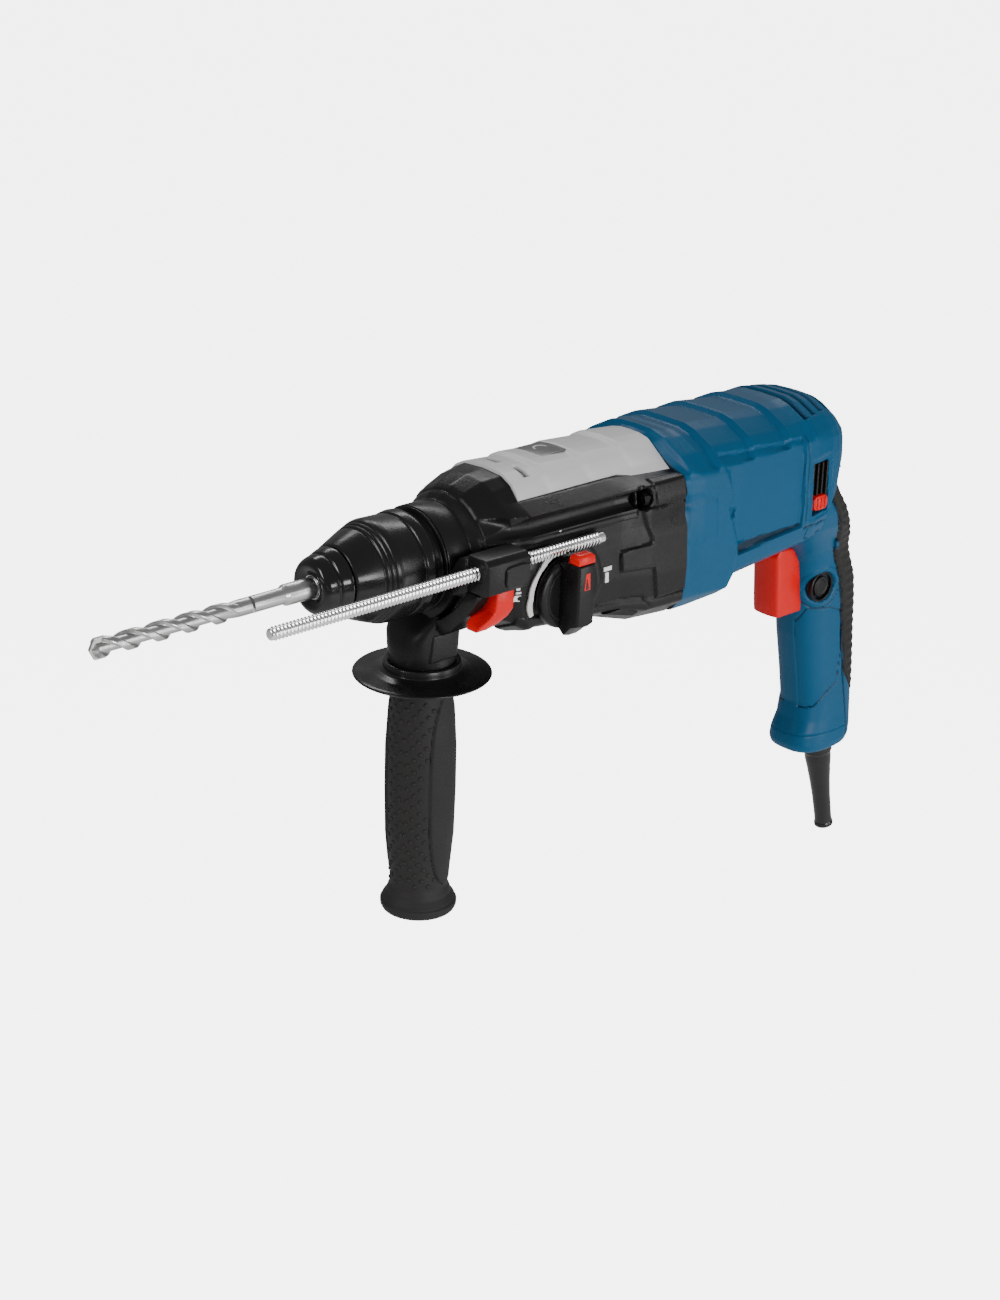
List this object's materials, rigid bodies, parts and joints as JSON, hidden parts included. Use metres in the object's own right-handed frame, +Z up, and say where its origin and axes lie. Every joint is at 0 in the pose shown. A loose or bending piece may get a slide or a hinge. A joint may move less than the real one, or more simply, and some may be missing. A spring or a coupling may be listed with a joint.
{
  "type": "rotary hammer",
  "caption": "Corded pistol-grip rotary hammer with a quick-change chuck, mode selector, clamp-on side handle, depth-stop rod and full hammer drive inside.",
  "frame": {"origin": "middle of the main grip, on the tool's middle plane, where a hand holds it", "axes": "+X from the drill bit to the rear along the spindle, +Y to the tool's right seen from behind, +Z up"},
  "size_m": [0.5019, 0.0979, 0.2734],
  "materials": {
    "aluminium": "die-cast and machined",
    "black": "fine-textured nylon",
    "blue": "satin glass-filled nylon",
    "bright": "bright plated steel",
    "carbon": "pressed carbon",
    "copper": "copper, lacquered windings and bars",
    "grey": "smooth moulded plastic",
    "insulator": "moulded insulating resin",
    "laminate": "stacked sheet laminations",
    "red": "smooth moulded plastic",
    "rubber": "smooth moulded rubber",
    "soft": "soft-touch elastomer",
    "steel": "ground steel"
  },
  "bodies": {
    "tool_body": {"gear_housing": "black", "top_cover": "grey", "motor_housing": "blue", "handle_cover": "blue", "soft_grip": "soft", "handle_bellows": "soft", "strain_relief": "rubber", "cord_clamp": "black", "switch_body": "black", "trigger_spring": "steel", "spindle_seal": "rubber", "front_bearing": "steel", "bearing_bridge": "aluminium", "shaft_front_bearing": "steel", "shaft_rear_bearing": "steel", "motor_front_bearing": "steel", "motor_rear_bearing": "steel", "stator_core": "laminate", "field_coil_left": "copper", "field_coil_right": "copper", "housing_screw_1": "steel", "housing_screw_2": "steel", "housing_screw_3": "steel", "housing_screw_4": "steel"},
    "spindle_set": {"spindle": "steel", "spindle_gear": "steel", "dust_cap": "rubber", "sleeve_spring": "steel"},
    "chuck_sleeve": {"locking_sleeve": "black", "locking_ring": "steel"},
    "ball_upper": {"locking_ball_upper": "steel"},
    "ball_lower": {"locking_ball_lower": "steel"},
    "bit": {"drill_bit": "bright"},
    "bolt": {"impact_bolt": "steel"},
    "ram": {"striker": "steel", "striker_o_ring": "rubber"},
    "cylinder_piston": {"piston": "aluminium"},
    "wobble": {"wobble_ring": "steel"},
    "countershaft": {"intermediate_shaft": "steel", "intermediate_gear": "steel", "wobble_hub": "steel"},
    "clutch": {"clutch_sleeve": "steel"},
    "fork": {"shift_fork": "steel"},
    "selector": {"mode_knob": "black"},
    "selector_button": {"mode_button": "red"},
    "armature": {"armature_shaft": "steel", "armature_core": "laminate", "commutator": "copper", "fan": "insulator"},
    "brush_gear": {"brush_ring": "insulator", "carbon_brush_upper": "carbon", "carbon_brush_lower": "carbon"},
    "trigger_body": {"trigger": "red"},
    "lock": {"lock_button": "black"},
    "side_handle": {"side_handle_head": "black", "clamp_band": "black"},
    "handle_grip": {"side_grip": "soft"},
    "tie": {"tie_bolt": "steel"},
    "stop_rod": {"depth_rod": "bright"},
    "rod_release": {"rod_release_button": "red"}
  },
  "joints": [
    {"name": "motor_spin", "type": "hinge", "parent": "tool_body", "child": "armature", "pos_m": [-0.101, 0, 0.1115], "axis": [1, 0, 0], "continuous": true},
    {"name": "countershaft_spin", "type": "hinge", "parent": "tool_body", "child": "countershaft", "pos_m": [-0.2, 0, 0.091], "axis": [1, 0, 0], "continuous": true},
    {"name": "spindle_spin", "type": "hinge", "parent": "tool_body", "child": "spindle_set", "pos_m": [-0.28, 0, 0.118], "axis": [1, 0, 0], "continuous": true},
    {"name": "sleeve_slide", "type": "slide", "parent": "spindle_set", "child": "chuck_sleeve", "axis": [1, 0, 0], "range_m": [0, 0.0045], "stiffness_N_per_m": 900, "springref_m": -0.008, "deforming": ["sleeve_spring"]},
    {"name": "ball_upper_slide", "type": "slide", "parent": "spindle_set", "child": "ball_upper", "axis": [0, 0, 1], "range_m": [0, 0.00181]},
    {"name": "ball_lower_slide", "type": "slide", "parent": "spindle_set", "child": "ball_lower", "axis": [0, 0, -1], "range_m": [0, 0.00181]},
    {"name": "bit_slide", "type": "slide", "parent": "spindle_set", "child": "bit", "axis": [1, 0, 0], "range_m": [-0.01, 0]},
    {"name": "bolt_slide", "type": "slide", "parent": "spindle_set", "child": "bolt", "axis": [1, 0, 0], "range_m": [0, 0.004]},
    {"name": "ram_slide", "type": "slide", "parent": "tool_body", "child": "ram", "axis": [1, 0, 0], "range_m": [-0.007, 0.003]},
    {"name": "wobble_swing", "type": "hinge", "parent": "tool_body", "child": "wobble", "pos_m": [-0.192, 0, 0.091], "axis": [0, 1, 0], "range_deg": [-9, 9]},
    {"name": "piston_slide", "type": "slide", "parent": "tool_body", "child": "cylinder_piston", "axis": [1, 0, 0], "range_m": [-0.0043, 0.0043]},
    {"name": "mode_turn", "type": "hinge", "parent": "tool_body", "child": "selector", "pos_m": [-0.2365, -0.0403, 0.0998], "axis": [0, -1, 0], "range_deg": [-85, 85]},
    {"name": "clutch_slide", "type": "slide", "parent": "countershaft", "child": "clutch", "axis": [1, 0, 0], "range_m": [-0.0025, 0.0025]},
    {"name": "fork_slide", "type": "slide", "parent": "tool_body", "child": "fork", "axis": [1, 0, 0], "range_m": [-0.0025, 0.0025]},
    {"name": "mode_button_press", "type": "slide", "parent": "selector", "child": "selector_button", "axis": [0, 0, -1], "range_m": [0, 0.0025], "stiffness_N_per_m": 400, "springref_m": -0.002},
    {"name": "trigger_pull", "type": "slide", "parent": "tool_body", "child": "trigger_body", "axis": [1, 0, 0], "range_m": [0, 0.007], "stiffness_N_per_m": 700, "springref_m": -0.004, "deforming": ["trigger_spring"]},
    {"name": "lock_press", "type": "slide", "parent": "tool_body", "child": "lock", "axis": [0, 1, 0], "range_m": [0, 0.003], "stiffness_N_per_m": 400, "springref_m": -0.002},
    {"name": "direction_turn", "type": "hinge", "parent": "tool_body", "child": "brush_gear", "pos_m": [-0.051, 0, 0.1115], "axis": [1, 0, 0], "range_deg": [-30, 0]},
    {"name": "side_handle_turn", "type": "hinge", "parent": "tool_body", "child": "side_handle", "pos_m": [-0.2887, 0, 0.118], "axis": [1, 0, 0], "range_deg": [-170, 0]},
    {"name": "grip_twist", "type": "hinge", "parent": "side_handle", "child": "handle_grip", "pos_m": [-0.2887, 0, -0.002], "axis": [0, 0, 1], "range_deg": [0, 540]},
    {"name": "tie_bolt_lift", "type": "slide", "parent": "side_handle", "child": "tie", "axis": [0, 0, 1], "range_m": [0, 0.00151]},
    {"name": "depth_rod_slide", "type": "slide", "parent": "side_handle", "child": "stop_rod", "axis": [1, 0, 0], "range_m": [-0.07, 0.02]},
    {"name": "rod_release_press", "type": "slide", "parent": "side_handle", "child": "rod_release", "axis": [0, 1, 0], "range_m": [0, 0.003], "stiffness_N_per_m": 500, "springref_m": -0.002}
  ],
  "couplings": [
    {"joint": "countershaft_spin", "follows": "motor_spin", "ratio": -0.20588},
    {"joint": "spindle_spin", "follows": "motor_spin", "ratio": 0.046791},
    {"joint": "ball_upper_slide", "follows": "sleeve_slide", "ratio": 0.4},
    {"joint": "ball_lower_slide", "follows": "sleeve_slide", "ratio": 0.4},
    {"joint": "piston_slide", "follows": "wobble_swing", "m_per_rad": 0.027},
    {"joint": "clutch_slide", "follows": "mode_turn", "m_per_rad": 0.0016},
    {"joint": "fork_slide", "follows": "mode_turn", "m_per_rad": 0.0016},
    {"joint": "tie_bolt_lift", "follows": "grip_twist", "m_per_rad": 0.00015915}
  ]
}
